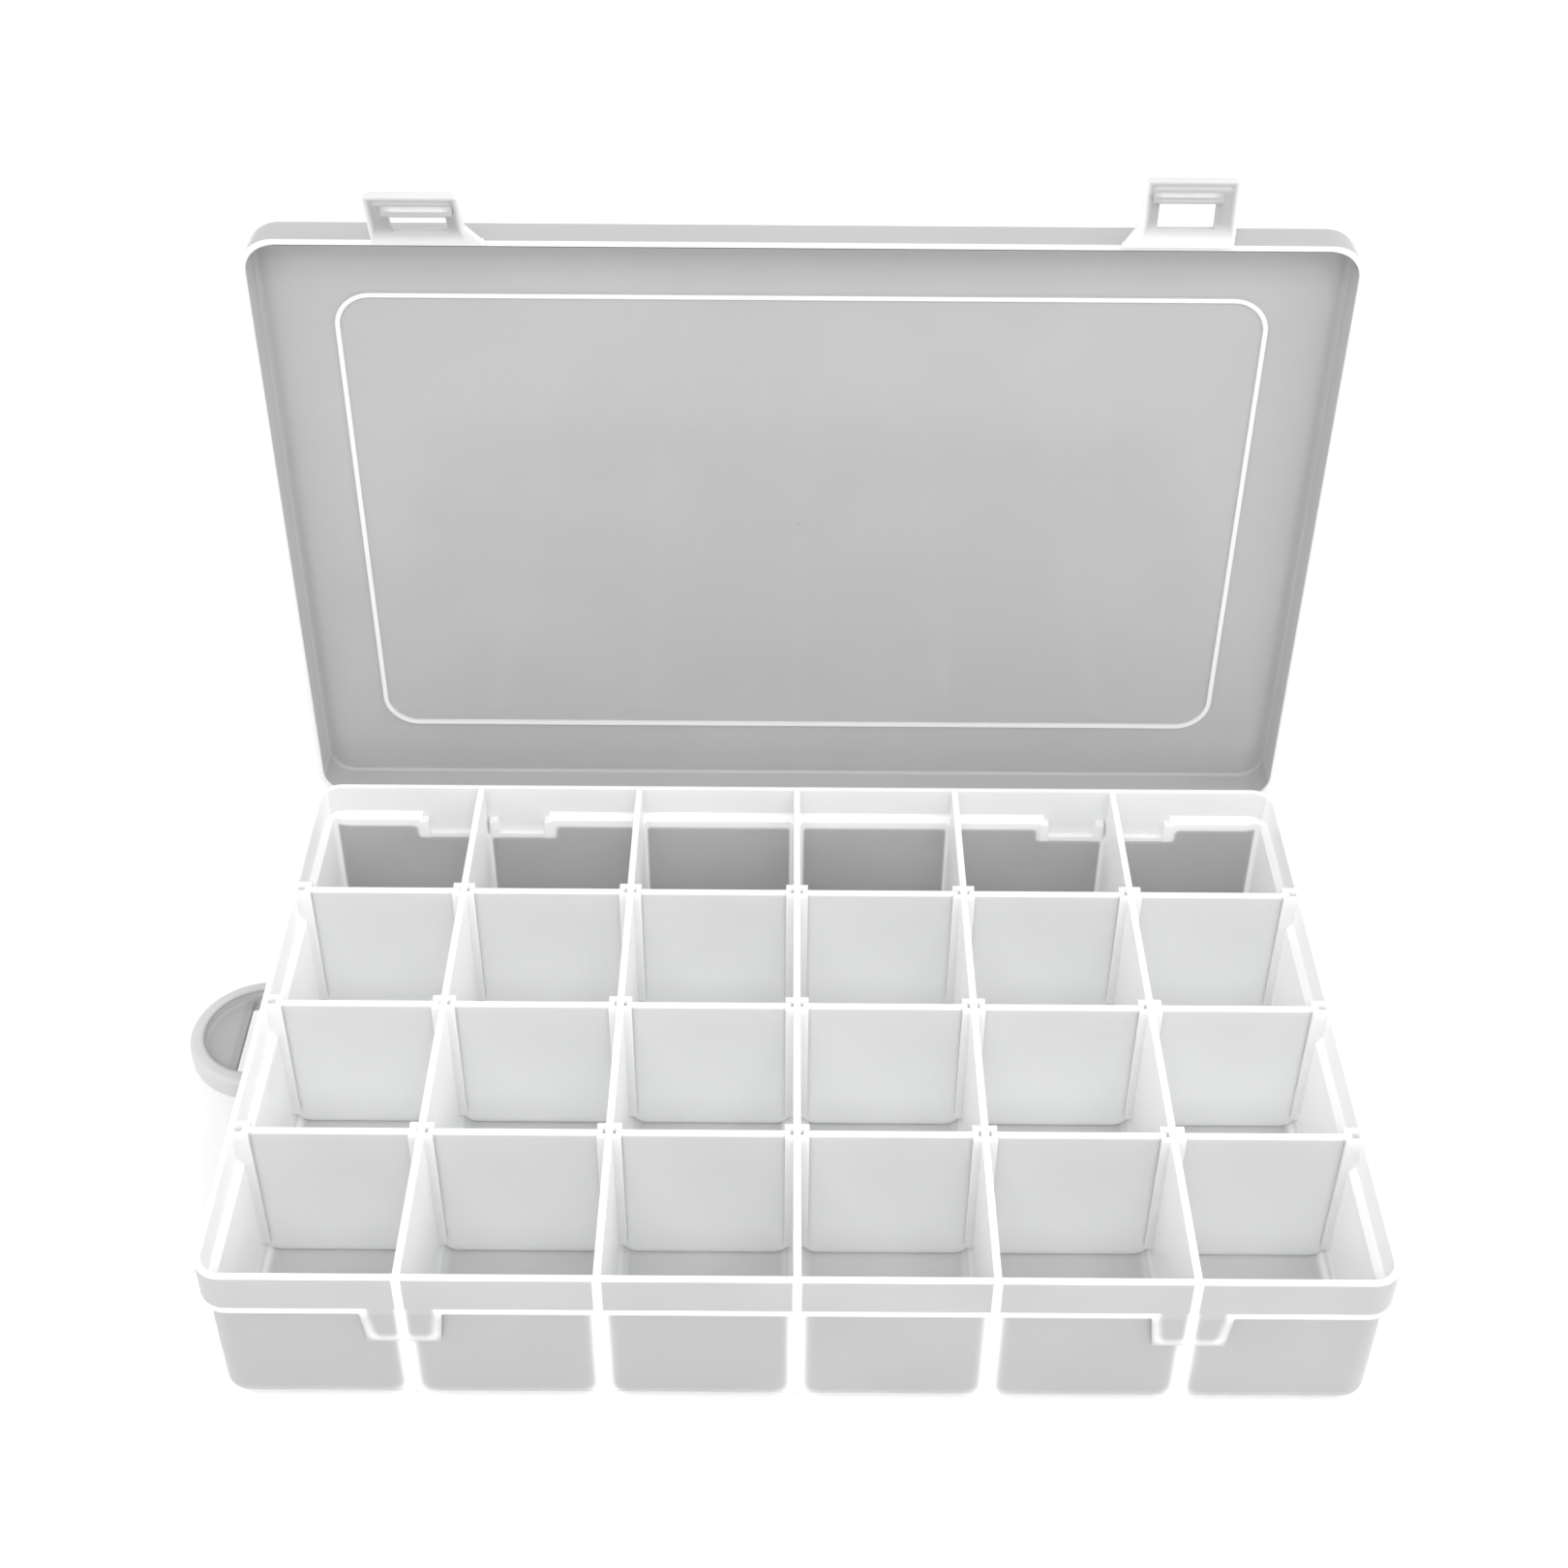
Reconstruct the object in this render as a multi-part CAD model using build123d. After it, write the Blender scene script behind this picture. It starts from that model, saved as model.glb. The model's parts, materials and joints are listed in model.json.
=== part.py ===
from build123d import *
import math
import os

# 24-cell sorting tray with a hinged lid, two snap latches and lift-out dividers.
# Frame: X to the right, Y to the back, Z up; the origin is under the tray's centre.
# The lid is modelled shut and then swung open, so its fits read in the shut pose.

# ---------------------------------------------------------------- driving dimensions (mm)
TRAY_WIDTH = 200.0
TRAY_DEPTH = 126.0
TRAY_HEIGHT = 34.0
WALL = 1.1
FLOOR = 1.2
CORNER_RADIUS = 5.0          # plan corners of the collar
EDGE_RADIUS = 0.3            # rounding of the free edges

COLLAR_STEP = 1.2            # the collar stands this far proud of the lower walls
COLLAR_HEIGHT = 9.4
LEDGE_LOW = 26.1             # the inner ledge slopes from here ...
LEDGE_HIGH = 27.6            # ... to here
FOOT_RADIUS = 3.0            # rounding under the outer walls

COLUMNS = 6
COLUMN_PITCH = 33.0
PARTITION = 1.3
TROUGH_RADIUS = 3.0          # each column has a round-cornered floor
TROUGH_END_RADIUS = 1.5
GROOVE_RADIUS = 2.6          # the outside follows the troughs with grooves under the partitions
GROOVE_DEPTH = 2.0
GATE_PAD_RADIUS = 6.0        # flat round pad at the moulding gate, across the middle groove

DIVIDER_ROWS = (-31.0, 0.0, 31.0)
DIVIDER_WIDTH = 30.8
DIVIDER_THICKNESS = 1.2
DIVIDER_LOW = 1.4
DIVIDER_HIGH = 33.8
DIVIDER_CORNER = 3.2
SLOT_GAP = 1.4
DIVIDER_TOP_CORNER = 0.35
RIB_THICKNESS = 1.0
RIB_PROUD = 1.5
RIB_LOW = 4.5

BOSS_X = 66.0                # latch bosses, over the outermost partitions
BOSS_HALF_TOP = 6.9
BOSS_HALF_LOW = 6.1
BOSS_LOW = 17.5
BOSS_OVERLAP = 2.5           # the boss runs up into the collar by this much

HINGE_Y = 66.0
HINGE_Z = 24.5
PIN_RADIUS = 1.2
BORE_RADIUS = 1.3
LUG_RADIUS = 2.3
LUG_X = (52.3, 63.9, 78.6)
LUG_THICKNESS = 1.8
LUG_MOUTH = 1.9
LUG_ROOT_HIGH = 1.6          # the lug's root rises this far above the pin's axis
LUG_TOP_GAP = 0.5            # and stays this far below the shut lid's skirt
STATION_X = (51.0, 79.9)     # the collar steps down behind each hinge
STATION_LOW = 21.4
FINGER_LOW = 21.6            # upright fingers stiffen the wall inside, behind the lugs
FINGER_PROUD = 0.4
ARM_X = ((55.0, 61.2), (67.2, 75.4))
ARM_RISE = 6.0               # the arm meets the skirt from its lower edge up to here
KNUCKLE_RADIUS = 1.9
PIN_X = (51.2, 79.7)
TOE_GAP = 0.1                # between the stop toe and the tray wall when the lid is open

LID_CLEARANCE = 0.35
LID_WALL = 1.1
LID_PANEL = 1.2
LID_SKIRT_LOW = 26.8
LID_PANEL_LOW = 34.6
LID_EDGE_RADIUS = 1.6
LID_OPEN = 90.5              # degrees from shut to the rest pose
FRAME_WIDTH = 173.4          # raised label frame inside the panel, on its centreline
FRAME_DEPTH = 100.0
FRAME_LINE = 0.9
FRAME_PROUD = 0.4
FRAME_RADIUS = 7.0
GATE_MARK_RADIUS = 0.6       # moulding gate in the middle of the panel
GATE_MARK_HEIGHT = 0.5

LATCH_HINGE_Y = -64.6
LATCH_HINGE_Z = 26.55
LATCH_THICKNESS = 1.2
LATCH_INNER_Y = -63.35
LATCH_LENGTH = 13.0
LATCH_OUTER_X = 76.6
LATCH_INNER_X_TIP = 59.8
LATCH_INNER_X_ROOT = 56.6
LATCH_FLARE = 5.0            # the flare ends this far below the hinge line
LATCH_ROOT_GAP = 0.3
LATCH_CORNER = 1.2
WINDOW_X = (62.6, 72.6)
WINDOW_FROM = 3.9
WINDOW_TO = 8.6
HOOK_X = (61.2, 73.6)
HOOK_TOP = 17.3
HOOK_LOW = 15.6
HOOK_TIP_Y = -62.15
HOOK_FLAT = 0.5              # blunt end of the hook
LIP_INSET = 1.2              # finger lip along the latch's free end
LIP_PROUD = 0.5
LIP_LOW = 0.2
LIP_HIGH = 1.1
LATCH_LEFT_OPEN = 65.0       # degrees from shut to the rest pose
LATCH_RIGHT_OPEN = 91.0

LOOP_RADIUS = 13.2
LOOP_CENTRE_X = -101.2
LOOP_BAND = 2.6
LOOP_LOW = 21.0
LOOP_HIGH = 26.0
LOOP_WEB = 1.3
LOOP_EDGE_RADIUS = 1.0
LOOP_BRIDGE = 1.2            # full-height strip between the dished web and the middle
LOOP_HOLE_X = (-104.6, -99.0)
LOOP_HOLE_HALF = 10.2
LOOP_HOLE_CORNER = 2.0

# ---------------------------------------------------------------- derived places
HALF_WIDTH = TRAY_WIDTH / 2
HALF_DEPTH = TRAY_DEPTH / 2
COLLAR_LOW = TRAY_HEIGHT - COLLAR_HEIGHT
LOWER_HALF_WIDTH = HALF_WIDTH - COLLAR_STEP
LOWER_HALF_DEPTH = HALF_DEPTH - COLLAR_STEP
CAVITY_HALF_WIDTH = LOWER_HALF_WIDTH - WALL
CAVITY_HALF_DEPTH = LOWER_HALF_DEPTH - WALL
PARTITION_X = [COLUMN_PITCH * (i - COLUMNS / 2) for i in range(1, COLUMNS)]
ABOVE = 1.0                  # cutters run this far past what they cut
BEYOND = 200.0               # larger than the whole box


def block(x, y, z):
    """Box from its low and high value on each axis."""
    size = [high - low for low, high in (x, y, z)]
    centre = [(high + low) / 2 for low, high in (x, y, z)]
    return Pos(*centre) * Box(*size)


def slab(half_width, half_depth, low, high, radius):
    """Upright prism on a rounded rectangle about the Z axis."""
    outline = RectangleRounded(2 * half_width, 2 * half_depth, radius)
    return extrude(Pos(0, 0, low) * outline, high - low)


def along_x(points, low, high):
    """Prism with a polygon of (y, z) points as its section, running along X."""
    outline = make_face(Polyline([(low, y, z) for y, z in points], close=True))
    return extrude(outline, high - low, dir=(1, 0, 0))


def rod(radius, low, high, y=HINGE_Y, z=HINGE_Z):
    """Round bar along X."""
    turned = Pos((low + high) / 2, y, z) * Rot(0, 90, 0)
    return turned * Cylinder(radius, high - low)


def both_sides(x_low, x_high):
    """The two mirrored spans of X, left then right."""
    return ((-x_high, -x_low), (x_low, x_high))


# ---------------------------------------------------------------- tray
def tray_outside():
    lower = slab(LOWER_HALF_WIDTH, LOWER_HALF_DEPTH, 0, COLLAR_LOW + ABOVE, CORNER_RADIUS - COLLAR_STEP)
    lower = fillet(lower.faces().sort_by(Axis.Z)[0].edges(), FOOT_RADIUS)
    collar = slab(HALF_WIDTH, HALF_DEPTH, COLLAR_LOW, TRAY_HEIGHT, CORNER_RADIUS)
    body = lower + fillet(collar.faces().filter_by(Axis.Z).edges(), EDGE_RADIUS)
    for x in PARTITION_X:
        body -= groove(x)
    return body + Pos(0, 0, GROOVE_DEPTH / 2) * Cylinder(GATE_PAD_RADIUS, GROOVE_DEPTH)


def groove(x):
    """Cusp of two arcs, cut along the underside below a partition."""
    rise = GROOVE_RADIUS - GROOVE_DEPTH
    reach = math.sqrt(GROOVE_RADIUS ** 2 - rise ** 2)
    mid_angle = math.radians(270) - math.acos(rise / GROOVE_RADIUS) / 2
    mid_x = reach + GROOVE_RADIUS * math.cos(mid_angle)
    mid_z = GROOVE_RADIUS * (1 + math.sin(mid_angle))
    y = -HALF_DEPTH - ABOVE
    apex = (x, y, GROOVE_DEPTH)
    left = ThreePointArc((x - reach, y, 0), (x - mid_x, y, mid_z), apex)
    right = ThreePointArc(apex, (x + mid_x, y, mid_z), (x + reach, y, 0))
    base = Polyline((x + reach, y, 0), (x + reach, y, -ABOVE), (x - reach, y, -ABOVE), (x - reach, y, 0))
    return extrude(make_face([left, right, base]), 2 * (HALF_DEPTH + ABOVE), dir=(0, 1, 0))


def column_cavity(x_low, x_high):
    """Round-bottomed trough between two partitions, running from front to back."""
    cavity = block((x_low, x_high), (-CAVITY_HALF_DEPTH, CAVITY_HALF_DEPTH), (FLOOR, LEDGE_HIGH))
    floor_sides = cavity.faces().sort_by(Axis.Z)[0].edges().filter_by(Axis.Y)
    cavity = fillet(floor_sides, TROUGH_RADIUS)
    ends = cavity.faces().filter_by(Axis.Y).edges()
    top = cavity.faces().sort_by(Axis.Z)[-1].edges()
    return fillet([edge for edge in ends if edge not in top], TROUGH_END_RADIUS)


def tray_inside():
    """All the air in the tray: the wide upper part with its sloping ledge, and the six troughs."""
    wide_x = HALF_WIDTH - WALL
    wide_y = HALF_DEPTH - WALL
    wide_radius = CORNER_RADIUS - WALL
    ledge_foot = RectangleRounded(2 * CAVITY_HALF_WIDTH, 2 * CAVITY_HALF_DEPTH, wide_radius - COLLAR_STEP)
    ledge_head = RectangleRounded(2 * wide_x, 2 * wide_y, wide_radius)
    air = loft([Pos(0, 0, LEDGE_LOW) * ledge_foot, Pos(0, 0, LEDGE_HIGH) * ledge_head], ruled=True)
    air += slab(wide_x, wide_y, LEDGE_HIGH, TRAY_HEIGHT + ABOVE, wide_radius)
    air += pockets()
    for x in PARTITION_X:
        wall = (x - PARTITION / 2, x + PARTITION / 2)
        air -= block(wall, (-HALF_DEPTH, HALF_DEPTH), (0, TRAY_HEIGHT + ABOVE))
    for column in range(COLUMNS):
        air += column_cavity(*column_span(column))
    return air


def column_span(column):
    """Clear width of a column; the outer ones run from a partition to the side wall."""
    low = -CAVITY_HALF_WIDTH
    high = CAVITY_HALF_WIDTH
    if column > 0:
        low = PARTITION_X[column - 1] + PARTITION / 2
    if column < COLUMNS - 1:
        high = PARTITION_X[column] - PARTITION / 2
    return low, high


def boss(outset, margin, low):
    """Tapered step-down of the collar over one latch, at both sides."""
    y_out = -(LOWER_HALF_DEPTH + outset)
    pieces = []
    for x in (-BOSS_X, BOSS_X):
        half_top = BOSS_HALF_TOP - margin
        half_low = BOSS_HALF_LOW - margin
        high = COLLAR_LOW + BOSS_OVERLAP
        outline = Polyline((x - half_top, y_out, high), (x + half_top, y_out, high),
                           (x + half_top, y_out, COLLAR_LOW), (x + half_low, y_out, low),
                           (x - half_low, y_out, low), (x - half_top, y_out, COLLAR_LOW), close=True)
        pieces.append(extrude(make_face(outline), COLLAR_STEP + margin, dir=(0, 1, 0)))
    return pieces


def pockets():
    """Hollows behind the latch bosses and the hinge stations."""
    cut = boss(COLLAR_STEP - WALL, WALL, BOSS_LOW + WALL)
    for low, high in both_sides(*STATION_X):
        cut.append(block((low + WALL, high - WALL), (CAVITY_HALF_DEPTH - WALL, HALF_DEPTH - WALL),
                         (STATION_LOW + WALL, LEDGE_HIGH)))
    return cut


def lug(x):
    """Snap-in bearing for the lid's pin, with its mouth to the back."""
    low = x - LUG_THICKNESS / 2
    high = x + LUG_THICKNESS / 2
    top = LID_SKIRT_LOW - LUG_TOP_GAP
    root = along_x([(HALF_DEPTH - WALL, STATION_LOW), (HALF_DEPTH, STATION_LOW),
                    (HINGE_Y, HINGE_Z - LUG_RADIUS), (HINGE_Y, HINGE_Z + LUG_ROOT_HIGH),
                    (HALF_DEPTH, top), (HALF_DEPTH - WALL, top)], low, high)
    ring = root + rod(LUG_RADIUS, low, high)
    ring -= rod(BORE_RADIUS, low - ABOVE, high + ABOVE)
    mouth = (HINGE_Z - LUG_MOUTH / 2, HINGE_Z + LUG_MOUTH / 2)
    return ring - block((low - ABOVE, high + ABOVE), (HINGE_Y, HINGE_Y + 2 * LUG_RADIUS), mouth)


def slot_ribs():
    """Pairs of upright ribs that hold the dividers, on every partition and side wall."""
    ribs = []
    reach = PARTITION / 2 + RIB_PROUD
    tip = CAVITY_HALF_WIDTH - RIB_PROUD
    for y in DIVIDER_ROWS:
        for near in (y - SLOT_GAP / 2 - RIB_THICKNESS, y + SLOT_GAP / 2):
            along = (near, near + RIB_THICKNESS)
            ribs += [block((x - reach, x + reach), along, (RIB_LOW, TRAY_HEIGHT)) for x in PARTITION_X]
            for low_wall in both_sides(tip, LOWER_HALF_WIDTH - WALL / 2):
                ribs.append(block(low_wall, along, (RIB_LOW, COLLAR_LOW)))
            for collar_wall in both_sides(tip, HALF_WIDTH - WALL / 2):
                ribs.append(block(collar_wall, along, (COLLAR_LOW, TRAY_HEIGHT)))
    return ribs


def station(span):
    """Step-down of the collar over one hinge."""
    return block(span, (LOWER_HALF_DEPTH - WALL / 2, HALF_DEPTH), (STATION_LOW, COLLAR_LOW + WALL))


def finger(x):
    """Upright stiffener inside the back wall, behind a lug."""
    return block((x - LUG_THICKNESS / 2, x + LUG_THICKNESS / 2),
                 (CAVITY_HALF_DEPTH - FINGER_PROUD, HALF_DEPTH - WALL / 2), (FINGER_LOW, LEDGE_LOW))


def make_tray():
    lug_places = [side * x for side in (-1, 1) for x in LUG_X]
    body = tray_outside()
    body += boss(COLLAR_STEP, 0, BOSS_LOW)
    body += [station(span) for span in both_sides(*STATION_X)]
    body -= tray_inside()
    body += slot_ribs()
    body += [lug(x) for x in lug_places]
    body += [finger(x) for x in lug_places]
    return body


# ---------------------------------------------------------------- lid
def hinge_axis_turn(angle):
    """Placement that swings the shut lid open by an angle about its hinge."""
    return Pos(0, HINGE_Y, HINGE_Z) * Rot(-angle, 0, 0) * Pos(0, -HINGE_Y, -HINGE_Z)


def hinge_arm(low, high):
    """Arm from the skirt to the pin, with the toe that stops the lid against the tray."""
    skirt = HALF_DEPTH + LID_CLEARANCE + LID_WALL
    root = skirt - LID_WALL / 2
    rise = LID_SKIRT_LOW + ARM_RISE
    arm = along_x([(root, LID_SKIRT_LOW + 0.4), (root, rise), (skirt, rise),
                   (HINGE_Y + KNUCKLE_RADIUS - 0.1, HINGE_Z + 0.6), (HINGE_Y, HINGE_Z - 0.5),
                   (HINGE_Y - KNUCKLE_RADIUS + 0.2, HINGE_Z + 0.6)], low, high)
    knuckle = rod(KNUCKLE_RADIUS, low, high)
    tip = HALF_DEPTH + TOE_GAP
    toe = along_x([(HINGE_Y - 0.6, HINGE_Z - 1.2), (tip, HINGE_Z - 1.3), (tip, HINGE_Z - 2.7),
                   (HINGE_Y - 1.6, HINGE_Z - 2.7), (HINGE_Y + 0.9, HINGE_Z - 1.4)], low, high)
    return [arm, knuckle, hinge_axis_turn(-LID_OPEN) * toe]


def make_lid():
    outer_x = HALF_WIDTH + LID_CLEARANCE + LID_WALL
    outer_y = HALF_DEPTH + LID_CLEARANCE + LID_WALL
    radius = CORNER_RADIUS + LID_CLEARANCE
    panel_high = LID_PANEL_LOW + LID_PANEL
    shell = slab(outer_x, outer_y, LID_SKIRT_LOW, panel_high, radius + LID_WALL)
    shell = fillet(shell.faces().sort_by(Axis.Z)[-1].edges(), LID_EDGE_RADIUS)
    inside = slab(outer_x - LID_WALL, outer_y - LID_WALL, LID_SKIRT_LOW - ABOVE, LID_PANEL_LOW, radius)
    inside = fillet(inside.faces().sort_by(Axis.Z)[-1].edges(), LID_EDGE_RADIUS / 2)
    shell -= inside
    shell = fillet(shell.faces().sort_by(Axis.Z)[0].edges(), EDGE_RADIUS)
    shell += slab((FRAME_WIDTH + FRAME_LINE) / 2, (FRAME_DEPTH + FRAME_LINE) / 2,
                  LID_PANEL_LOW - FRAME_PROUD, LID_PANEL_LOW + LID_PANEL / 2, FRAME_RADIUS)
    shell -= slab((FRAME_WIDTH - FRAME_LINE) / 2, (FRAME_DEPTH - FRAME_LINE) / 2,
                  LID_PANEL_LOW - FRAME_PROUD - ABOVE, LID_PANEL_LOW, FRAME_RADIUS - FRAME_LINE)
    shell += Pos(0, 0, LID_PANEL_LOW) * Cylinder(GATE_MARK_RADIUS, GATE_MARK_HEIGHT)
    for low, high in both_sides(*PIN_X):
        shell += rod(PIN_RADIUS, low, high)
    for arm in ARM_X:
        for low, high in both_sides(*arm):
            shell += hinge_arm(low, high)
    return shell


# ---------------------------------------------------------------- latches
def make_latch(side):
    """Latch plate hanging from the lid's front edge, shut; side is -1 left, 1 right."""
    top = LATCH_HINGE_Z - LATCH_ROOT_GAP
    tip = LATCH_HINGE_Z - LATCH_LENGTH
    y_out = LATCH_INNER_Y - LATCH_THICKNESS
    flare = LATCH_HINGE_Z - LATCH_FLARE
    outline = Polyline((side * LATCH_OUTER_X, y_out, top), (side * LATCH_INNER_X_ROOT, y_out, top),
                       (side * LATCH_INNER_X_TIP, y_out, flare), (side * LATCH_INNER_X_TIP, y_out, tip),
                       (side * LATCH_OUTER_X, y_out, tip), close=True)
    plate = extrude(make_face(outline), LATCH_THICKNESS, dir=(0, 1, 0))
    corners = plate.edges().filter_by(Axis.Y).sort_by(Axis.Z)[:2]
    plate = fillet(corners, LATCH_CORNER)
    window = sorted((side * WINDOW_X[0], side * WINDOW_X[1]))
    plate -= block(window, (y_out - ABOVE, LATCH_INNER_Y + ABOVE),
                   (LATCH_HINGE_Z - WINDOW_TO, LATCH_HINGE_Z - WINDOW_FROM))
    plate = fillet(plate.faces().sort_by(Axis.Y)[0].edges(), EDGE_RADIUS)
    hook_span = sorted((side * HOOK_X[0], side * HOOK_X[1]))
    root = LATCH_INNER_Y - LATCH_THICKNESS / 4
    plate += along_x([(root, HOOK_TOP), (HOOK_TIP_Y, HOOK_TOP), (HOOK_TIP_Y, HOOK_TOP - HOOK_FLAT),
                      (root, HOOK_LOW)], *hook_span)
    lip_span = sorted((side * (LATCH_INNER_X_TIP + LIP_INSET), side * (LATCH_OUTER_X - LIP_INSET)))
    lip = block(lip_span, (y_out - LIP_PROUD, y_out + LATCH_THICKNESS / 4), (tip + LIP_LOW, tip + LIP_HIGH))
    return plate + fillet(lip.edges().filter_by(Axis.X), LIP_LOW)


def latch_turn(angle):
    """Placement that swings a shut latch open about the film hinge."""
    return Pos(0, LATCH_HINGE_Y, LATCH_HINGE_Z) * Rot(-angle, 0, 0) * Pos(0, -LATCH_HINGE_Y, -LATCH_HINGE_Z)


# ---------------------------------------------------------------- dividers and hanging loop
def make_divider(x, y):
    """Flat lift-out plate with round lower corners."""
    plate = block((x - DIVIDER_WIDTH / 2, x + DIVIDER_WIDTH / 2),
                  (y - DIVIDER_THICKNESS / 2, y + DIVIDER_THICKNESS / 2), (DIVIDER_LOW, DIVIDER_HIGH))
    plate = fillet(plate.edges().filter_by(Axis.Y).sort_by(Axis.Z)[:2], DIVIDER_CORNER)
    plate = fillet(plate.edges().filter_by(Axis.Y).sort_by(Axis.Z)[-2:], DIVIDER_TOP_CORNER)
    return fillet(plate.faces().sort_by(Axis.Z)[-1].edges(), EDGE_RADIUS)


def make_hang_loop():
    """Half-round eye on the left wall: a raised rim, a thin web and a slot next to the wall."""
    height = LOOP_HIGH - LOOP_LOW
    across = (-BEYOND, BEYOND)
    loop = extrude(Pos(LOOP_CENTRE_X, 0, LOOP_LOW) * Circle(LOOP_RADIUS), height)
    loop &= block((-BEYOND, -LOWER_HALF_WIDTH), across, across)
    loop = fillet(loop.edges().filter_by(GeomType.CIRCLE), LOOP_EDGE_RADIUS)
    loop -= block((-HALF_WIDTH, BEYOND), across, (COLLAR_LOW, BEYOND))
    dish = Pos(LOOP_CENTRE_X, 0, LOOP_HIGH) * Cylinder(LOOP_RADIUS - LOOP_BAND, height - LOOP_WEB)
    dish &= block((-BEYOND, LOOP_CENTRE_X - LOOP_BRIDGE), across, across)
    loop -= [dish, Pos(0, 0, -height) * dish]
    hole = block(LOOP_HOLE_X, (-LOOP_HOLE_HALF, LOOP_HOLE_HALF), (LOOP_LOW - ABOVE, LOOP_HIGH + ABOVE))
    outer_corners = hole.edges().filter_by(Axis.Z).sort_by(Axis.X)[:2]
    return loop - fillet(outer_corners, LOOP_HOLE_CORNER)


# ---------------------------------------------------------------- assembly
def build_nodes():
    lid_turn = hinge_axis_turn(LID_OPEN)
    nodes = {
        "tray": make_tray(),
        "hang_loop": make_hang_loop(),
        "lid": lid_turn * make_lid(),
        "latch_left": lid_turn * latch_turn(LATCH_LEFT_OPEN) * make_latch(-1),
        "latch_right": lid_turn * latch_turn(LATCH_RIGHT_OPEN) * make_latch(1),
    }
    for row, y in enumerate(DIVIDER_ROWS, start=1):
        for column in range(COLUMNS):
            middle = sum(column_span(column)) / 2
            nodes[f"divider_row{row}_col{column + 1}"] = make_divider(middle, y)
    return nodes


os.makedirs("parts", exist_ok=True)
for name, shape in build_nodes().items():
    export_step(shape, f"parts/{name}.step")
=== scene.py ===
import json
import math

import bpy
from mathutils import Matrix, Vector


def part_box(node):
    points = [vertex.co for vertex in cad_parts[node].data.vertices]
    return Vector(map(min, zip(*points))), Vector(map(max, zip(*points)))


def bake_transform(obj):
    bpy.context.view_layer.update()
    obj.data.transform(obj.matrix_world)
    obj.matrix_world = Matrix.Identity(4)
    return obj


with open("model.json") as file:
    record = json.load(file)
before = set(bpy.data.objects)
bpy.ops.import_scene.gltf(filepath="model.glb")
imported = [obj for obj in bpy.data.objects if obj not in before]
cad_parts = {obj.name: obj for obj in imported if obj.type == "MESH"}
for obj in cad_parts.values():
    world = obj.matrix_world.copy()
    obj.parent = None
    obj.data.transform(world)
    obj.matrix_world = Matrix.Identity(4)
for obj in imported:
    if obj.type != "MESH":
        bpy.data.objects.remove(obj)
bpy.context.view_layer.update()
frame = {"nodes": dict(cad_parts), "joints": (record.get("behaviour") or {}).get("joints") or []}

# Sizes and places are in metres, in the frame's own axes, with the tray standing on Z = 0.
# A pair of lengths named as a line, an edge or a shade is where its tone starts and where it is full.
MM = 0.001
JOINTS = {joint["name"]: joint for joint in frame["joints"]}

# Tray
RIM_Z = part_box("tray")[1].z
RIM_LINE = (0.5 * MM, 0.2 * MM)         # depths below the rim of its painted glowing line
INNER_Y = (60.7 * MM, 60.4 * MM)        # inside faces of the front and back walls, and just inside them
FLOOR_Z = (1.6 * MM, 4.1 * MM)          # the floor's painted shade turns into the partitions' painted glow between these
# the floor keeps this share of the inside's painted glow; the rest of its grey is painted shade
FLOOR_GLOW = 0.38
COLUMN_PITCH = 33.0 * MM                # the partitions stand this far apart, one of them at X = 0
PARTITION_GLOW_LINE = (0.95 * MM, 0.55 * MM)      # distances from a partition, whose edge shows outside as a painted glowing line, standing for the partition seen through the wall
PARTITION_GLOW_END = (2.7 * COLUMN_PITCH, 2.6 * COLUMN_PITCH)    # the side walls, past this, have no such line
COLLAR_Z = 24.6 * MM                    # the collar stands out from here up
COLLAR_LINE = 1.5 * MM                  # height of the painted glowing line along the collar's foot
COLLAR_HALF = (100.0 * MM, 63.0 * MM)   # half the collar's width and depth
COLLAR_RADIUS = 5.0 * MM
COLLAR_STEP = 1.2 * MM                  # the collar stands this far proud of the walls below
# painted glow added from the collar's foot up
COLLAR_GLOW = 0.1
OUTER_EDGE = (-0.65 * MM, -0.45 * MM)   # distances past the outline: inside faces lie further in
BACK_EDGE = (0.0, 50.0 * MM)            # the back wall's painted light comes in over this stretch of Y
# painted glow on the back wall above the ledge and at the hinge stations, over the shade there
BACK_GLOW = 0.65
LEDGE_EDGE = (26.1 * MM, 26.7 * MM)     # heights at the foot of the sloping ledge inside
STATION_X = (51.0 * MM, 79.9 * MM)      # the hinge stations in the back wall
STATION_EDGE = 0.2 * MM
STATION_Z = 21.4 * MM
DIVIDER_LINE = (1.0 * MM, 0.7 * MM)     # depths below the rim of the divider's painted glowing top line
LEVEL_SOFT = 0.1 * MM                   # half the height over which a tone changes at a level

# Lid, as it is when shut
LID_OPEN = math.radians(-JOINTS["lid_hinge"]["range_deg"][0])
SKIRT_Z = 26.8 * MM                     # the skirt's free edge
SKIRT_LINE = (0.6 * MM, 0.35 * MM)      # heights above the free edge of its painted glowing line
PANEL_EDGE = (34.6 * MM, 35.4 * MM)     # heights at the panel's inside and well within it
LID_SIDE_X = 100.35 * MM                # inside faces of the side skirts
LID_SIDE_EDGE = 0.3 * MM
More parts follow.
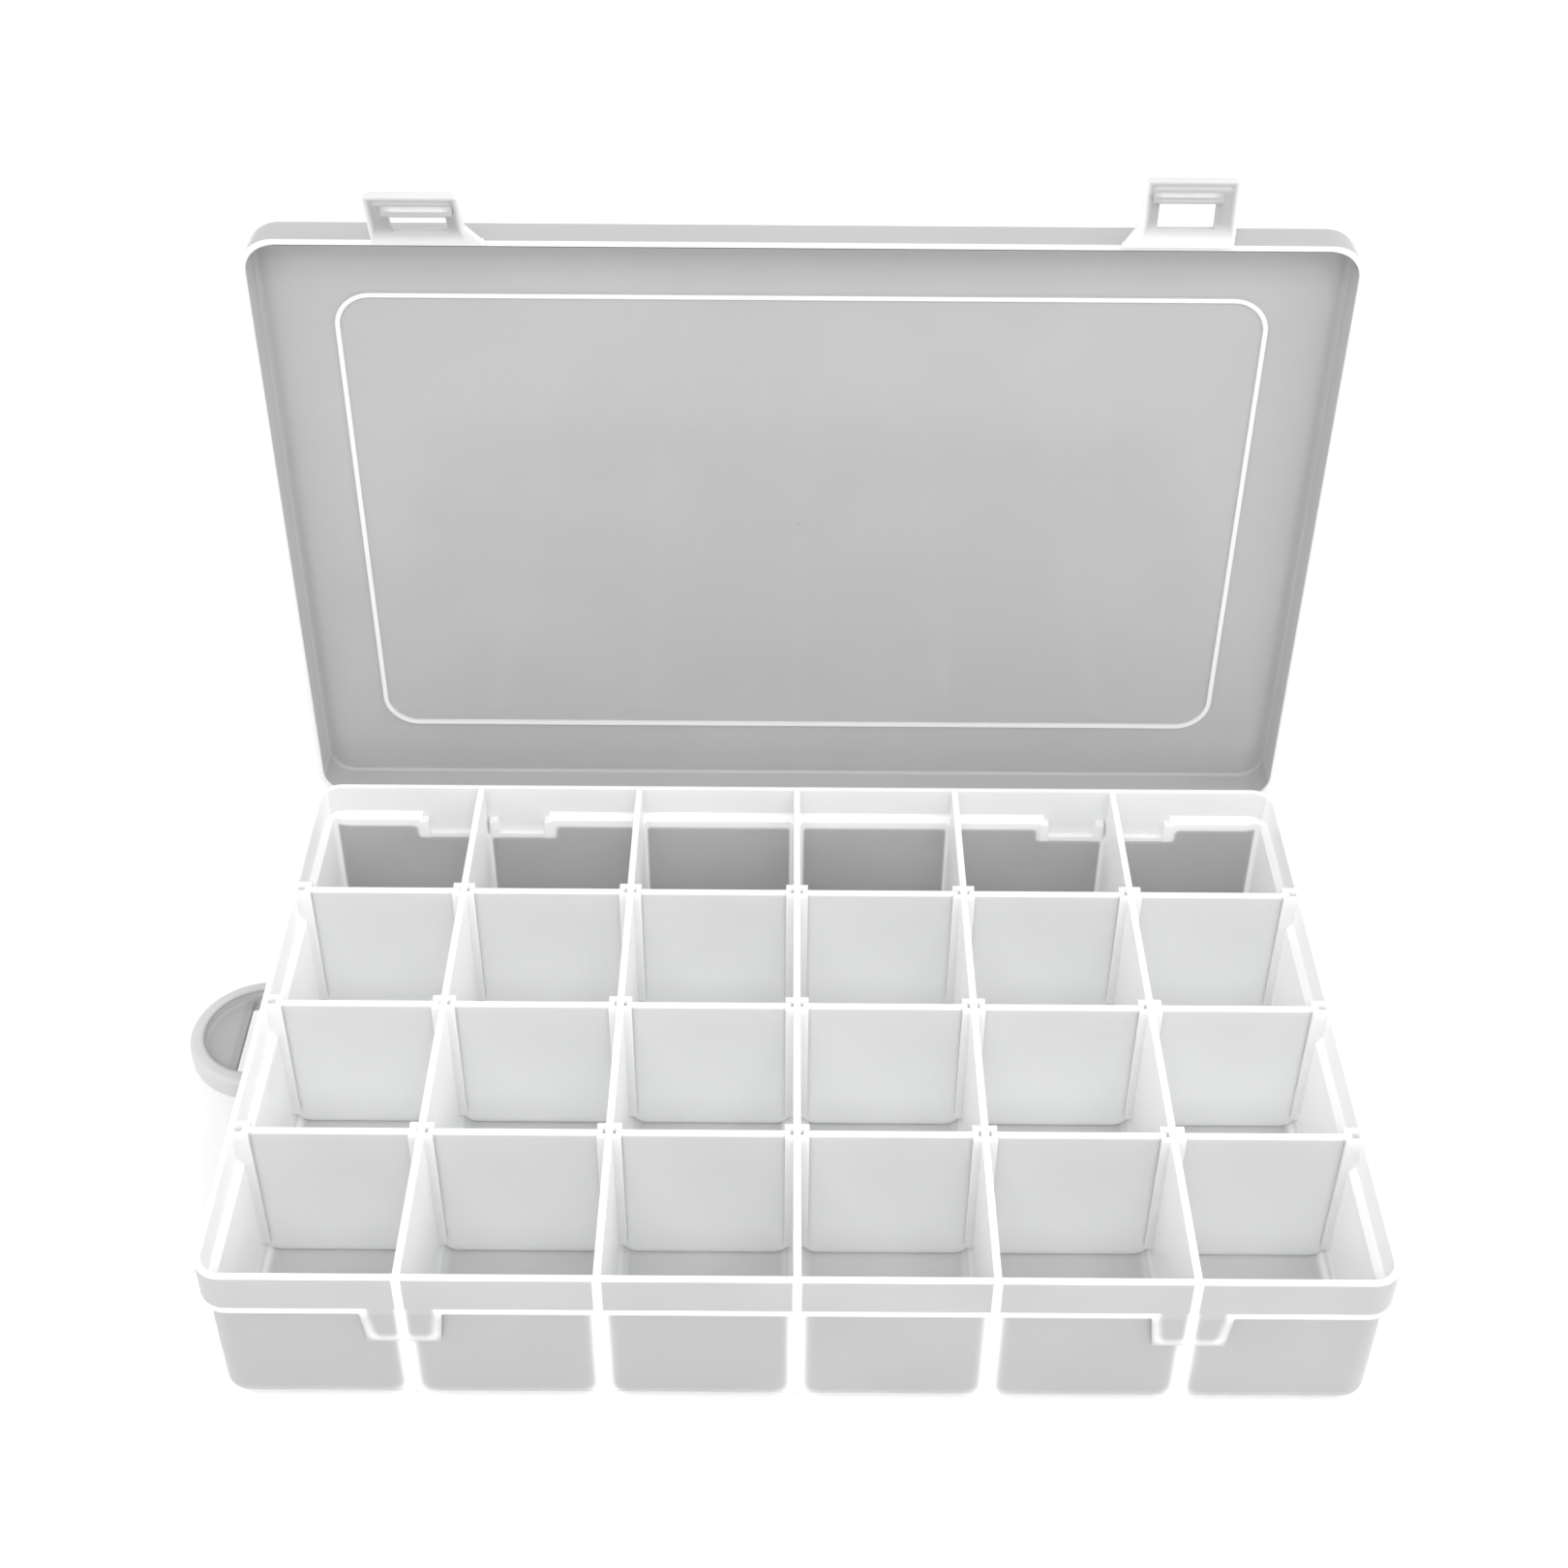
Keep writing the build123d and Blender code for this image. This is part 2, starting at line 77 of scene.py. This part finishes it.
# painted glow along the side skirts' inside faces
LID_SIDE_GLOW = 0.35
LID_FRONT_Y = 63.35 * MM                # inside face of the front skirt
LABEL_HALF = (86.7 * MM, 50.0 * MM)     # half the raised label frame's centreline
LABEL_RADIUS = 6.6 * MM
LABEL_LINE = (0.62 * MM, 0.35 * MM)     # distances from that centreline
LABEL_OUTSIDE = 0.3                     # how strongly the label frame's painted glowing line shows through on the lid's outside
SHADE_OUT = (0.32 * MM, 0.22 * MM)      # distances out past the front skirt's inside face,
SHADE_IN = (2.0 * MM, 1.8 * MM)         # in from it,
SHADE_UP = (1.0 * MM, 0.9 * MM)         # up from the free edge
SHADE_SIDE = (4.0 * MM, 6.0 * MM)       # and in from the side skirts
SHADE_GREY = 0.1

# Latches and their film hinges
LATCH_X = (59.8 * MM, 76.6 * MM)        # sides of the latches
LATCH_SIDE_LINE = 1.5 * MM
# the latches' sides, root and free end get these shares of painted glow
LATCH_SIDE_GLOW = 0.75
LATCH_ROOT_LINE = (6.0 * MM, 1.0 * MM)  # distances from the hinge axis
LATCH_ROOT_GLOW = 0.8
LATCH_TIP_LINE = (12.0 * MM, 12.8 * MM)
LATCH_TIP_GLOW = 0.5
HINGE_WEB = 0.35 * MM                   # thickness of the film hinge
HINGE_REACH = 0.75 * MM                 # it runs this far to each side of its axis
HINGE_INSET = 0.3 * MM                  # and stops this far inside the latch's sides
HINGE_STEPS = 12
SHARP_ANGLE = math.radians(40)

# Plastic
# The plastic's depth sets a painted glow, standing for light carried through thick translucent plastic.
THICK_REACH = 1.8 * MM                  # how far into the plastic its depth is felt
THICK_RANGE = (0.45, 0.75)
NOISE_RANGE = (0.3, 0.7)                # where most of the noise's values lie
CLOUD_SIZE = 30 * MM
CLOUD_WHITE = 0.03
GRAIN_SIZE = 0.35 * MM
GRAIN_HEIGHT = 0.04 * MM
GRAIN_STRENGTH = 0.12
RUB_SIZE = 5 * MM
RUB_ROUGHNESS = (-0.05, 0.07)           # change of the roughness from patch to patch
PLASTIC_IOR = 1.49

# Stage
FLOOR_SIZE = 12
FLOOR_COLOUR = (0.96, 0.96, 0.96, 1)
FLOOR_ROUGHNESS = 0.9
CAMERA_PLACE = (-0.00277, -0.28858, 0.32947)
CAMERA_LENS = 50.24
CAMERA_SENSOR = 36
CAMERA_SHIFT = (-0.0026, -0.0636)
CAMERA_CLIP = 0.01
CAMERA_PITCH = math.radians(90 - 37.37)  # up from straight down
CAMERA_YAW = -0.0021
CAMERA_ROLL = 0.0079


# ---------------------------------------------------------------- node helpers
def new_material(name):
    material = bpy.data.materials.new(name)
    material.use_nodes = True
    material.node_tree.nodes.clear()
    return material, material.node_tree


def add(tree, kind, inputs=None, **settings):
    """Adds one node, sets its properties, and links or sets each named or numbered input."""
    node = tree.nodes.new("ShaderNode" + kind)
    for key, value in settings.items():
        setattr(node, key, value)
    for key, value in (inputs or {}).items():
        if isinstance(value, bpy.types.NodeSocket):
            tree.links.new(value, node.inputs[key])
        else:
            node.inputs[key].default_value = value
    return node


def ramp(tree, value, start, end, low=0.0, high=1.0):
    """Smooth step of a value from low at start to high at end."""
    inputs = {"Value": value, "From Min": start, "From Max": end, "To Min": low, "To Max": high}
    return add(tree, "MapRange", inputs, interpolation_type="SMOOTHSTEP").outputs["Result"]


def above(tree, value, level, low=0.0, high=1.0):
    """Low under a level and high over it, with a narrow soft change between."""
    return ramp(tree, value, level - LEVEL_SOFT, level + LEVEL_SOFT, low, high)


def maths(tree, operation, first, second=0.0):
    return add(tree, "Math", {0: first, 1: second}, operation=operation).outputs[0]


def product(tree, first, *others):
    for other in others:
        first = maths(tree, "MULTIPLY", first, other)
    return first


def largest(tree, first, *others):
    for other in others:
        first = maths(tree, "MAXIMUM", first, other)
    return first


def vector_maths(tree, operation, first, second=(0, 0, 0)):
    return add(tree, "VectorMath", {0: first, 1: second}, operation=operation).outputs[0]


def length(tree, vector):
    return add(tree, "VectorMath", {0: vector}, operation="LENGTH").outputs["Value"]


def separate(tree, vector):
    return add(tree, "SeparateXYZ", {0: vector}).outputs


def blend_colour(tree, share, first, second):
    inputs = {0: share, 6: first, 7: second}
    return add(tree, "Mix", inputs, data_type="RGBA").outputs[2]


def noise(tree, place, feature, detail):
    """Even noise whose lumps are about as wide as feature."""
    return add(tree, "TexNoise", {"Vector": place, "Scale": 1 / feature, "Detail": detail}).outputs[0]


# ---------------------------------------------------------------- places on a piece
def own_place(tree):
    return add(tree, "TexCoord").outputs["Object"]


def shut_place(tree):
    """The lid's points as they are with the lid shut."""
    pivot = Vector(JOINTS["lid_hinge"]["pos_m"])
    back = Matrix.Rotation(LID_OPEN, 3, "X")
    inputs = {"Vector": own_place(tree), "Location": pivot - back @ pivot, "Rotation": (LID_OPEN, 0, 0)}
    return add(tree, "Mapping", inputs).outputs[0]


def past_outline(tree, where, half, radius):
    """Distance in plan past a rounded rectangle's outline, below zero inside it."""
    inner = (half[0] - radius, half[1] - radius, 1.0)
    past = vector_maths(tree, "SUBTRACT", vector_maths(tree, "ABSOLUTE", where), inner)
    round_part = length(tree, vector_maths(tree, "MAXIMUM", past))
    x, y, z = separate(tree, past)
    flat_part = maths(tree, "MINIMUM", maths(tree, "MAXIMUM", x, y), 0.0)
    return maths(tree, "SUBTRACT", maths(tree, "ADD", round_part, flat_part), radius)


# ---------------------------------------------------------------- painted glow and shade on each place
def thick_glow_share(tree):
    """How much plastic lies behind the surface: low on a plain wall, high where walls and ribs meet. Its
    white is a painted glow, standing for light carried through thick translucent plastic.
    """
    inputs = {"Distance": THICK_REACH}
    depth = add(tree, "AmbientOcclusion", inputs, inside=True, only_local=True, samples=16)
    return ramp(tree, depth.outputs["AO"], *THICK_RANGE)


def outer_face(tree, where, z):
    """1 on the outside faces of the tray's walls and collar, and 0 on the inside ones."""
    from_collar = past_outline(tree, where, COLLAR_HALF, COLLAR_RADIUS)
    wall = above(tree, z, COLLAR_Z, low=-COLLAR_STEP, high=0.0)
    return ramp(tree, maths(tree, "SUBTRACT", from_collar, wall), *OUTER_EDGE)


def back_wall_painted_light(tree, off_x, y, z):
    """Painted glow above the ledge and, from further down, at the hinge stations, over the shade in their
    pockets.
    """
    back = ramp(tree, y, *BACK_EDGE)
    ledge = product(tree, back, ramp(tree, z, *LEDGE_EDGE, high=BACK_GLOW))
    near, far = STATION_X
    past_near = ramp(tree, off_x, near - STATION_EDGE, near)
    before_far = ramp(tree, off_x, far + STATION_EDGE, far)
    station = product(tree, back, past_near, before_far, above(tree, z, STATION_Z, high=BACK_GLOW))
    return maths(tree, "ADD", largest(tree, ledge, station), product(tree, back, COLLAR_GLOW))


def tray_painted_light(tree, where):
    """Painted light: the partitions, ribs and rim get a painted glow, and the floor and the outside a
    painted shade, standing for what is behind seen through the plastic.
    """
    x, y, z = separate(tree, where)
    off_x = maths(tree, "ABSOLUTE", x)
    off_y = maths(tree, "ABSOLUTE", y)
    outside = outer_face(tree, where, z)
    inside = maths(tree, "SUBTRACT", 1.0, outside)
    over_floor = ramp(tree, z, *FLOOR_Z, low=FLOOR_GLOW)
    ribs = product(tree, ramp(tree, off_y, *INNER_Y), over_floor, inside)
    rim = ramp(tree, z, RIM_Z - RIM_LINE[0], RIM_Z - RIM_LINE[1])
    collar = above(tree, z, COLLAR_Z, high=COLLAR_GLOW)
    off_partition = maths(tree, "PINGPONG", x, COLUMN_PITCH / 2)
    partition_glow = product(tree, ramp(tree, off_partition, *PARTITION_GLOW_LINE), ramp(tree, off_x, *PARTITION_GLOW_END))
    band = product(tree, outside, above(tree, z, COLLAR_Z + COLLAR_LINE))
    glow = product(tree, thick_glow_share(tree), maths(tree, "SUBTRACT", 1.0, band))
    return largest(tree, ribs, rim, glow, partition_glow, collar, back_wall_painted_light(tree, off_x, y, z))


def lid_painted_light(tree, where):
    """Painted glow along the free edge of the skirt and on the label frame, which shows faintly from
    outside.
    """
    x, y, z = separate(tree, where)
    off_x = maths(tree, "ABSOLUTE", x)
    edge = ramp(tree, z, SKIRT_Z + SKIRT_LINE[0], SKIRT_Z + SKIRT_LINE[1])
    side_skirt = ramp(tree, off_x, LID_SIDE_X - LID_SIDE_EDGE, LID_SIDE_X, high=LID_SIDE_GLOW)
    off_line = maths(tree, "ABSOLUTE", past_outline(tree, where, LABEL_HALF, LABEL_RADIUS))
    through = ramp(tree, z, *PANEL_EDGE, low=1.0, high=LABEL_OUTSIDE)
    return largest(tree, edge, side_skirt, product(tree, ramp(tree, off_line, *LABEL_LINE), through))


def lid_shade(tree, where):
    """The inner corner of the front skirt's free edge, where the skirt's own shade begins."""
    x, y, z = separate(tree, where)
    off_x = maths(tree, "ABSOLUTE", x)
    outwards = ramp(tree, y, -LID_FRONT_Y - SHADE_OUT[0], -LID_FRONT_Y - SHADE_OUT[1])
    inwards = ramp(tree, y, -LID_FRONT_Y + SHADE_IN[0], -LID_FRONT_Y + SHADE_IN[1])
    upwards = ramp(tree, z, SKIRT_Z + SHADE_UP[0], SKIRT_Z + SHADE_UP[1])
    straight = ramp(tree, off_x, LID_SIDE_X - SHADE_SIDE[0], LID_SIDE_X - SHADE_SIDE[1])
    return product(tree, outwards, inwards, upwards, straight)


def divider_painted_light(tree, where):
    """Painted glow along the top edge, and below it painted lighter and lighter towards the floor, lifting
    the shade low in each cell.
    """
    z = separate(tree, where)[2]
    top = ramp(tree, z, RIM_Z - DIVIDER_LINE[0], RIM_Z - DIVIDER_LINE[1])
    return largest(tree, top, ramp(tree, z, RIM_Z, 0.0))


def latch_painted_light(tree, where):
    """Painted glow at the film hinge, along the free end and at both sides, in terms that no swing changes.
    """
    from_axis = vector_maths(tree, "SUBTRACT", where, JOINTS["latch_left_hinge"]["pos_m"])
    reach = length(tree, vector_maths(tree, "MULTIPLY", from_axis, (0, 1, 1)))
    root = ramp(tree, reach, *LATCH_ROOT_LINE, high=LATCH_ROOT_GLOW)
    tip = ramp(tree, reach, *LATCH_TIP_LINE, high=LATCH_TIP_GLOW)
    off_x = maths(tree, "ABSOLUTE", separate(tree, where)[0])
    near, far = LATCH_X
    near_side = ramp(tree, off_x, near + LATCH_SIDE_LINE, near, high=LATCH_SIDE_GLOW)
    far_side = ramp(tree, off_x, far - LATCH_SIDE_LINE, far, high=LATCH_SIDE_GLOW)
    return largest(tree, root, tip, near_side, far_side, thick_glow_share(tree))


def loop_painted_light(tree, where):
    # painted glow where the loop's plastic is thick
    return thick_glow_share(tree)


# ---------------------------------------------------------------- frosted polypropylene
def grey(value):
    """A neutral plastic colour with the slightest cool cast."""
    return (value * 0.995, value, value * 0.998, 1)


def frosted(name, place, painted_light, base, glow, roughness, scatter, depth, shade=None):
    """Milky moulded plastic: its grey goes from base to glow with the painted light, and under the painted
    shade it is dark.
    """
    material, tree = new_material(name)
    where = place(tree)
    cloud = ramp(tree, noise(tree, where, CLOUD_SIZE, 1), *NOISE_RANGE, -CLOUD_WHITE, CLOUD_WHITE)
    share = add(tree, "Clamp", {0: maths(tree, "ADD", painted_light(tree, where), cloud)}).outputs[0]
    colour = blend_colour(tree, share, grey(base), grey(glow))
    if shade:
        colour = blend_colour(tree, shade(tree, where), colour, grey(SHADE_GREY))
    grain = noise(tree, where, GRAIN_SIZE, 1)
    bump = add(tree, "Bump", {"Strength": GRAIN_STRENGTH, "Distance": GRAIN_HEIGHT, "Height": grain})
    patches = [roughness + change for change in RUB_ROUGHNESS]
    shader = add(tree, "BsdfPrincipled", {
        "Base Color": colour,
        "Roughness": ramp(tree, noise(tree, where, RUB_SIZE, 2), *NOISE_RANGE, *patches),
        "IOR": PLASTIC_IOR,
        "Subsurface Weight": scatter,
        "Subsurface Radius": (1, 1, 1),
        "Subsurface Scale": depth,
        "Normal": bump.outputs[0],
    })
    add(tree, "OutputMaterial", {"Surface": shader.outputs[0]})
    return material


LOOKS = {
    "tray": frosted("tray_plastic", own_place, tray_painted_light,
                    base=0.43, glow=0.98, roughness=0.38, scatter=0.8, depth=1.5 * MM),
    "lid": frosted("lid_plastic", shut_place, lid_painted_light,
                   base=0.45, glow=0.80, roughness=0.13, scatter=0.25, depth=0.8 * MM, shade=lid_shade),
    "latch": frosted("latch_plastic", own_place, latch_painted_light,
                     base=0.40, glow=0.92, roughness=0.35, scatter=0.5, depth=0.8 * MM),
    "divider": frosted("divider_plastic", own_place, divider_painted_light,
                       base=0.71, glow=0.92, roughness=0.4, scatter=1.0, depth=1.5 * MM),
    "hang_loop": frosted("loop_plastic", own_place, loop_painted_light,
                         base=0.37, glow=0.58, roughness=0.4, scatter=0.3, depth=0.8 * MM),
}

for name, obj in frame["nodes"].items():
    family = next(key for key in LOOKS if name.startswith(key))
    obj.data.materials.clear()
    obj.data.materials.append(LOOKS[family])


# ---------------------------------------------------------------- film hinges of the latches
def bent_strip(start, end):
    """Points of a strip's two faces, in pairs, along a smooth bend from start round to end."""
    points = []
    for i in range(HINGE_STEPS + 1):
        t = i / HINGE_STEPS
        middle = start * (1 - t) ** 2 + end * t ** 2
        along = end * t - start * (1 - t)
        side = Vector((0, -along.z, along.y)).normalized() * HINGE_WEB / 2
        points += [middle + side, middle - side]
    return points


def strip_faces(count):
    """Faces between a strip's points on the left, count of them, and those on the right that follow."""
    faces = []
    for a in range(0, count - 2, 2):
        faces.append((a, a + 2, a + count + 2, a + count))
        faces.append((a + 1, a + count + 1, a + count + 3, a + 3))
        faces.append((a, a + 1, a + 3, a + 2))
        faces.append((a + count, a + count + 2, a + count + 3, a + count + 1))
    faces.append((0, count, count + 1, 1))
    end = count - 2
    faces.append((end, end + 1, end + count + 1, end + count))
    return faces


def film_hinge(latch, joint_name):
    """Thin strip of plastic that bends between the lid's edge and a latch, round the latch's axis."""
    joint = JOINTS[joint_name]
    axis = Vector(joint["pos_m"])
    low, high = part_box(latch)
    to_lid = Matrix.Rotation(-LID_OPEN, 3, "X") @ Vector((0, 0, HINGE_REACH))
    open_angle = math.radians(-joint["range_deg"][0])
    to_latch = Matrix.Rotation(-LID_OPEN - open_angle, 3, "X") @ Vector((0, 0, -HINGE_REACH))
    section = bent_strip(to_lid, to_latch)
    half = (high.x - low.x) / 2 - HINGE_INSET
    centre = Vector(((low.x + high.x) / 2, axis.y, axis.z))
    points = [centre + point + Vector((x, 0, 0)) for x in (-half, half) for point in section]
    mesh = bpy.data.meshes.new(latch + "_film_hinge")
    mesh.from_pydata(points, [], strip_faces(len(section)))
    mesh.shade_smooth()
    mesh.set_sharp_from_angle(angle=SHARP_ANGLE)
    mesh.materials.append(LOOKS["latch"])
    web = bpy.data.objects.new(latch + "_film_hinge", mesh)
    bpy.context.scene.collection.objects.link(web)
    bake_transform(web)


film_hinge("latch_left", "latch_left_hinge")
film_hinge("latch_right", "latch_right_hinge")


# ---------------------------------------------------------------- stage
def floor_sheet():
    bpy.ops.mesh.primitive_plane_add(size=FLOOR_SIZE, location=(0, 0, 0))
    floor = bpy.context.object
    floor.name = "floor"
    material, tree = new_material("floor_paint")
    shader = add(tree, "BsdfPrincipled", {"Base Color": FLOOR_COLOUR, "Roughness": FLOOR_ROUGHNESS})
    add(tree, "OutputMaterial", {"Surface": shader.outputs[0]})
    floor.data.materials.append(material)


def area_light(name, place, target, size, power):
    data = bpy.data.lights.new(name, "AREA")
    data.shape = "RECTANGLE"
    data.size, data.size_y = size
    data.energy = power
    light = bpy.data.objects.new(name, data)
    bpy.context.scene.collection.objects.link(light)
    light.location = place
    light.rotation_euler = (Vector(target) - Vector(place)).to_track_quat("-Z", "Y").to_euler()


def world_light(strength):
    world = bpy.data.worlds.new("studio")
    bpy.context.scene.world = world
    world.use_nodes = True
    back = world.node_tree.nodes["Background"]
    back.inputs["Color"].default_value = (1, 1, 1, 1)
    back.inputs["Strength"].default_value = strength


def camera():
    """Seen from the front, looking 37 degrees down, with a long lens."""
    data = bpy.data.cameras.new("camera")
    cam = bpy.data.objects.new("camera", data)
    bpy.context.scene.collection.objects.link(cam)
    data.sensor_width = CAMERA_SENSOR
    data.lens = CAMERA_LENS
    data.shift_x, data.shift_y = CAMERA_SHIFT
    data.clip_start = CAMERA_CLIP
    cam.location = CAMERA_PLACE
    yaw = Matrix.Rotation(CAMERA_YAW, 3, "Z")
    tilt = Matrix.Rotation(CAMERA_PITCH, 3, "X")
    roll = Matrix.Rotation(CAMERA_ROLL, 3, "Z")
    cam.rotation_euler = (yaw @ tilt @ roll).to_euler()
    bpy.context.scene.camera = cam


floor_sheet()
world_light(strength=0.90)
area_light("left_box", place=(-0.9, -0.1, 0.7), target=(0, 0, 0.03), size=(0.8, 0.8), power=1.4)
area_light("right_box", place=(0.9, -0.1, 0.7), target=(0, 0, 0.03), size=(0.8, 0.8), power=3.6)
area_light("front_box", place=(0, -1.0, 1.2), target=(0, 0, 0.05), size=(1.2, 0.6), power=9.0)
camera()
bpy.context.scene.cycles.max_bounces = 16
bpy.context.scene.cycles.diffuse_bounces = 10
bpy.context.scene.view_settings.view_transform = "Standard"
